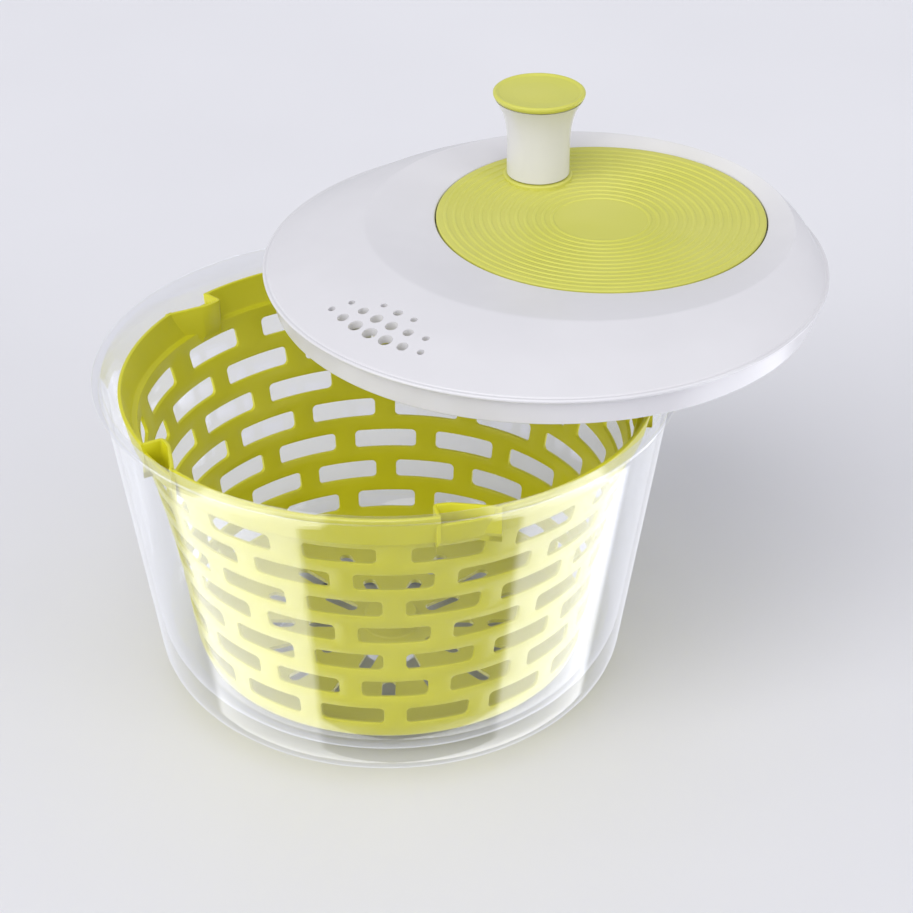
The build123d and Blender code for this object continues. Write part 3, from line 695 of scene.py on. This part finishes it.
def sleeve_r(up):
    """Outer radius of the knob's sleeve at a share of its height: straight, then flared."""
    flare = max(0.0, (up - FLARE_FROM) / (1 - FLARE_FROM))
    return STEM_R - 0.1 + FLARE_OUT * flare ** FLARE_POWER


def make_sleeve():
    """White grip sleeve with a rounded foot and a flared top."""
    low = PAD_TOP_Z + SLEEVE_GAP
    high = PAD_TOP_Z + KNOB_H - CAP_T - 0.2
    shares = [k / SLEEVE_STEPS for k in range(SLEEVE_STEPS + 1)]
    outer = [(sleeve_r(s), low + (high - low) * s, 0) for s in shares]
    inner = [(sleeve_r(s) - SLEEVE_WALL, low + (high - low) * s, 0) for s in reversed(shares)]
    outer[0] = (sleeve_r(0), low, 0.5)
    inner[-1] = (sleeve_r(0) - SLEEVE_WALL, low, 0.5)
    bm = bmesh.new()
    add_turned(bm, outer + inner, (KNOB_AT.x, KNOB_AT.y, SEAT_Z), closed=True, segments=KNOB_SEGMENTS)
    (bore_r, tube_r), (tube_low, tube_top) = KNOB_BORE_R, KNOB_BORE_Z
    bearing = ((bore_r, tube_low, 0.3), (tube_r, tube_low, 0.3),
               (tube_r, tube_top, 0.3), (bore_r, tube_top, 0.3))
    add_turned(bm, bearing, (KNOB_AT.x, KNOB_AT.y, SEAT_Z), closed=True, segments=BORE_SEGMENTS)
    outward(bm)
    piece = mesh_object("knob_sleeve_white", bm)
    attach(piece, "knob")
    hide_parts("knob_sleeve")
    return piece


def make_cap():
    """Lime cap with a rolled rim round a shallow dish."""
    top = PAD_TOP_Z + KNOB_H
    low = top - CAP_T
    ring_in, ring_out = CAP_RING_R
    corners = ((0, low, 0), (CAP_R - 1.2, low, 0.6), (CAP_R - 0.1, low + 1.4, 0.9), (CAP_R, top - 0.6, 0.6),
               (CAP_R - 0.8, top, 0.6), (CAP_R - 1.7, top - 0.1, 0.6), (CAP_R - 2.6, top - 0.8, 1.6),
               (12.0, top - 1.25, 10), (0, top - 1.3, 0))
    bm = bmesh.new()
    add_turned(bm, corners, (KNOB_AT.x, KNOB_AT.y, SEAT_Z), segments=KNOB_SEGMENTS)
    ring = ((ring_in, low - 3.2, 0.3), (ring_out, low - 3.2, 0.3),
            (ring_out, low + 0.4, 0), (ring_in, low + 0.4, 0))
    add_turned(bm, ring, (KNOB_AT.x, KNOB_AT.y, SEAT_Z), closed=True, segments=PAD_SEGMENTS)
    outward(bm)
    piece = mesh_object("knob_cap_lime", bm)
    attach(piece, "knob")
    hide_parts("knob_cap")
    return piece


# --- materials ---

def srgb(red, green, blue):
    """Linear colour from 0-255 display values."""
    return tuple(((v / 255 + 0.055) / 1.055) ** 2.4 for v in (red, green, blue)) + (1.0,)


def noise(nodes, links, scale, detail=2.0, roughness=0.5):
    """Noise in the object's own coordinates."""
    coords = nodes.new("ShaderNodeTexCoord")
    texture = nodes.new("ShaderNodeTexNoise")
    texture.inputs["Scale"].default_value = scale
    texture.inputs["Detail"].default_value = detail
    texture.inputs["Roughness"].default_value = roughness
    links.new(coords.outputs["Object"], texture.inputs["Vector"])
    return texture.outputs["Fac"]


def mapped(nodes, links, value, low, high):
    """A 0.35-0.65 noise value spread over a range."""
    spread = nodes.new("ShaderNodeMapRange")
    spread.inputs["From Min"].default_value = 0.35
    spread.inputs["From Max"].default_value = 0.65
    spread.inputs["To Min"].default_value = low
    spread.inputs["To Max"].default_value = high
    links.new(value, spread.inputs["Value"])
    return spread.outputs["Result"]


def surface(name, dark, light, rough, grain, bump, cloud=24.0, metal=0.0, specular=0.5, coat=0.0):
    """Moulded or machined surface: clouded colour, uneven gloss and a fine grain in relief."""
    material = bpy.data.materials.new(name)
    material.use_nodes = True
    nodes, links = material.node_tree.nodes, material.node_tree.links
    shader = nodes["Principled BSDF"]
    shader.inputs["Metallic"].default_value = metal
    shader.inputs["Specular IOR Level"].default_value = specular
    shader.inputs["Coat Weight"].default_value = coat
    shader.inputs["Coat Roughness"].default_value = 0.12
    ramp = nodes.new("ShaderNodeMix")
    ramp.data_type = "RGBA"
    ramp.inputs["A"].default_value = srgb(*dark)
    ramp.inputs["B"].default_value = srgb(*light)
    links.new(mapped(nodes, links, noise(nodes, links, cloud, 4.0), 0.0, 1.0), ramp.inputs["Factor"])
    links.new(ramp.outputs["Result"], shader.inputs["Base Color"])
    links.new(mapped(nodes, links, noise(nodes, links, cloud * 4, 3.0), *rough), shader.inputs["Roughness"])
    relief = nodes.new("ShaderNodeBump")
    relief.inputs["Strength"].default_value = bump
    relief.inputs["Distance"].default_value = 0.0002
    links.new(noise(nodes, links, grain, 3.0, 0.6), relief.inputs["Height"])
    links.new(relief.outputs["Normal"], shader.inputs["Normal"])
    return material


def clear_plastic():
    """Clear moulded plastic seen as thin walls: tinted see-through with gloss that grows to the edges."""
    material = bpy.data.materials.new("clear_plastic")
    material.use_nodes = True
    nodes, links = material.node_tree.nodes, material.node_tree.links
    nodes.remove(nodes["Principled BSDF"])
    out = nodes["Material Output"]
    through = nodes.new("ShaderNodeBsdfTransparent")
    through.inputs["Color"].default_value = CLEAR_TINT
    gloss = nodes.new("ShaderNodeBsdfGlossy")
    gloss.inputs["Color"].default_value = (1, 1, 1, 1)
    links.new(mapped(nodes, links, noise(nodes, links, 60.0, 3.0), 0.03, 0.07), gloss.inputs["Roughness"])
    relief = nodes.new("ShaderNodeBump")
    relief.inputs["Strength"].default_value = 0.05
    relief.inputs["Distance"].default_value = 0.0004
    links.new(noise(nodes, links, 35.0, 2.0), relief.inputs["Height"])
    links.new(relief.outputs["Normal"], gloss.inputs["Normal"])
    facing = nodes.new("ShaderNodeLayerWeight")
    facing.inputs["Blend"].default_value = 0.5
    steep = nodes.new("ShaderNodeMath")
    steep.operation = "POWER"
    steep.inputs[1].default_value = EDGE_POWER
    links.new(facing.outputs["Facing"], steep.inputs[0])
    edge = nodes.new("ShaderNodeMath")
    edge.operation = "MULTIPLY_ADD"
    edge.inputs[1].default_value = 1 - FACE_GLOSS
    edge.inputs[2].default_value = FACE_GLOSS
    links.new(steep.outputs["Value"], edge.inputs[0])
    clear = nodes.new("ShaderNodeMixShader")
    links.new(edge.outputs["Value"], clear.inputs["Fac"])
    links.new(through.outputs["BSDF"], clear.inputs[1])
    links.new(gloss.outputs["BSDF"], clear.inputs[2])
    haze = nodes.new("ShaderNodeBsdfDiffuse")
    haze.inputs["Color"].default_value = srgb(226, 230, 240)
    milky = nodes.new("ShaderNodeMixShader")
    links.new(mapped(nodes, links, noise(nodes, links, 18.0, 3.0), 0.015, 0.03), milky.inputs["Fac"])
    links.new(clear.outputs["Shader"], milky.inputs[1])
    links.new(haze.outputs["BSDF"], milky.inputs[2])
    links.new(milky.outputs["Shader"], out.inputs["Surface"])
    return material


def dress(piece, material):
    """Give a piece or a CAD node one material in every slot."""
    if not piece.material_slots:
        piece.data.materials.append(material)
    for slot in piece.material_slots:
        slot.material = material


# --- stage ---

def make_floor():
    """Plain pale table top, flat and wide."""
    bm = bmesh.new()
    corners = ((-1, -1), (1, -1), (1, 1), (-1, 1))
    bm.faces.new([bm.verts.new((x * FLOOR_HALF, y * FLOOR_HALF, 0)) for x, y in corners])
    floor = mesh_object("table_top", bm)
    floor.visible_glossy = False
    dress(floor, surface("table_paint", (224, 224, 229), (227, 227, 232), (0.5, 0.6), 300.0, 0.02, cloud=2.0))
    return floor


def sun_light(name, source, strength, spread, colour=(1.0, 1.0, 1.0)):
    """Far soft light from a direction, with its angular size in degrees."""
    data = bpy.data.lights.new(name, "SUN")
    data.energy = strength
    data.angle = radians(spread)
    data.color = colour
    light = bpy.data.objects.new(name, data)
    light.rotation_euler = (-Vector(source)).to_track_quat("-Z", "Y").to_euler()
    bpy.context.scene.collection.objects.link(light)
    return light


def band(nodes, links, azimuth, low, high, soft):
    """One between two azimuths in degrees and nought outside, with soft ends."""
    share = None
    for edge, sign in ((low, 1), (high, -1)):
        ramp = nodes.new("ShaderNodeMapRange")
        ramp.interpolation_type = "SMOOTHSTEP"
        ramp.inputs["From Min"].default_value = radians(edge - soft * sign)
        ramp.inputs["From Max"].default_value = radians(edge + soft * sign)
        links.new(azimuth, ramp.inputs["Value"])
        if share is None:
            share = ramp.outputs["Result"]
            continue
        both = nodes.new("ShaderNodeMath")
        both.operation = "MULTIPLY"
        links.new(share, both.inputs[0])
        links.new(ramp.outputs["Result"], both.inputs[1])
        share = both.outputs["Value"]
    return share


def studio_world():
    """Pale surround, with tall light panels to the left and right below the table's edge."""
    world = bpy.data.worlds.new("studio")
    bpy.context.scene.world = world
    world.use_nodes = True
    nodes, links = world.node_tree.nodes, world.node_tree.links
    background = nodes["Background"]
    coords = nodes.new("ShaderNodeTexCoord")
    parts = nodes.new("ShaderNodeSeparateXYZ")
    links.new(coords.outputs["Generated"], parts.inputs["Vector"])
    angle = nodes.new("ShaderNodeMath")
    angle.operation = "ARCTAN2"
    links.new(parts.outputs["X"], angle.inputs[0])
    flip = nodes.new("ShaderNodeMath")
    flip.operation = "MULTIPLY"
    flip.inputs[1].default_value = -1
    links.new(parts.outputs["Y"], flip.inputs[0])
    links.new(flip.outputs["Value"], angle.inputs[1])
    below = nodes.new("ShaderNodeMapRange")
    below.inputs["From Min"].default_value = -0.2
    below.inputs["From Max"].default_value = -0.35
    links.new(parts.outputs["Z"], below.inputs["Value"])
    left, right = [band(nodes, links, angle.outputs["Value"], *span, PANEL_SOFT) for span in PANEL_AZ]
    total = nodes.new("ShaderNodeMath")
    total.operation = "ADD"
    links.new(left, total.inputs[0])
    links.new(right, total.inputs[1])
    panels = nodes.new("ShaderNodeMath")
    panels.operation = "MULTIPLY"
    links.new(total.outputs["Value"], panels.inputs[0])
    links.new(below.outputs["Result"], panels.inputs[1])
    sideways = nodes.new("ShaderNodeMath")
    sideways.operation = "ABSOLUTE"
    links.new(angle.outputs["Value"], sideways.inputs[0])
    low_glow = nodes.new("ShaderNodeMapRange")
    low_glow.inputs["From Min"].default_value = radians(60)
    low_glow.inputs["From Max"].default_value = radians(120)
    low_glow.inputs["To Min"].default_value = LOW_GLOW
    low_glow.inputs["To Max"].default_value = BACK_GLOW
    links.new(sideways.outputs["Value"], low_glow.inputs["Value"])
    base = nodes.new("ShaderNodeMapRange")
    base.inputs["To Min"].default_value = WORLD_GLOW
    links.new(low_glow.outputs["Result"], base.inputs["To Max"])
    links.new(below.outputs["Result"], base.inputs["Value"])
    glow = nodes.new("ShaderNodeMath")
    glow.operation = "MULTIPLY_ADD"
    glow.inputs[1].default_value = PANEL_GLOW
    links.new(panels.outputs["Value"], glow.inputs[0])
    links.new(base.outputs["Result"], glow.inputs[2])
    background.inputs["Color"].default_value = WORLD_TINT
    links.new(glow.outputs["Value"], background.inputs["Strength"])


def make_camera():
    """Camera at the front, looking down on the object with a long lens."""
    data = bpy.data.cameras.new("camera")
    data.lens = LENS
    camera = bpy.data.objects.new("camera", data)
    aim = Vector(AIM)
    tilt = radians(CAMERA_ELEVATION)
    camera.location = aim + CAMERA_DISTANCE * Vector((0, -cos(tilt), sin(tilt)))
    camera.rotation_euler = (aim - camera.location).to_track_quat("-Z", "Y").to_euler()
    bpy.context.scene.collection.objects.link(camera)
    bpy.context.scene.camera = camera


# --- assembly ---

LIME = surface("lime_moulded", (206, 202, 30), (213, 209, 42), (0.3, 0.38), 700.0, 0.08)
CRANK_LIME = surface("lime_satin", (200, 200, 84), (205, 204, 96), (0.36, 0.44), 800.0, 0.1)
WHITE = surface("white_gloss", (216, 215, 219), (219, 218, 222), (0.24, 0.27), 60.0, 0.02)
ROTOR_WHITE = surface("white_moulded", (220, 220, 226), (228, 228, 232), (0.32, 0.42), 800.0, 0.1)
ACETAL = surface("natural_acetal", (228, 226, 216), (238, 236, 228), (0.3, 0.38), 700.0, 0.08)
STEEL = surface("turned_steel", (150, 152, 156), (176, 178, 182), (0.2, 0.34), 2200.0, 0.2, metal=1.0)
RUBBER = surface("grip_rubber", (120, 124, 132), (132, 136, 144), (0.62, 0.75), 1500.0, 0.3, specular=0.35)
CLEAR = clear_plastic()

NODE_LOOKS = {
    "base_grip_ring": RUBBER, "pivot_pin": STEEL, "basket_bearing": ACETAL, "thrust_ball": STEEL,
    "gear_housing": ROTOR_WHITE, "housing_screws": STEEL, "shaft_bush": ACETAL, "crank_axle": STEEL,
    "hub_retainer": ACETAL, "retainer_screws": STEEL, "disc_bush": ACETAL, "ring_gear": ROTOR_WHITE,
    "ring_gear_screws": STEEL, "knob_spindle": STEEL, "knob_clip": STEEL, "drive_pinion": ACETAL,
    "drive_shaft": STEEL, "rotor_washer": ACETAL, "drive_rotor": ROTOR_WHITE, "rotor_screw": STEEL,
}

for node, look in NODE_LOOKS.items():
    dress(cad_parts[node], look)

dress(make_bowl(), CLEAR)
dress(make_basket(), LIME)
dress(make_lid(), WHITE)
dress(make_disc(), CRANK_LIME)
dress(make_sleeve(), WHITE)
dress(make_cap(), CRANK_LIME)

make_floor()
studio_world()
sun_light("overhead_key", (-0.3, -0.62, 1.0), 1.15, 50.0, (1.0, 0.985, 0.965))
sun_light("left_fill", (-1.2, -0.75, 0.47), 0.87, 33.0)
sun_light("right_fill", (1.25, -0.7, 0.42), 0.75, 33.0)
make_camera()
bpy.context.scene.view_settings.view_transform = "Standard"
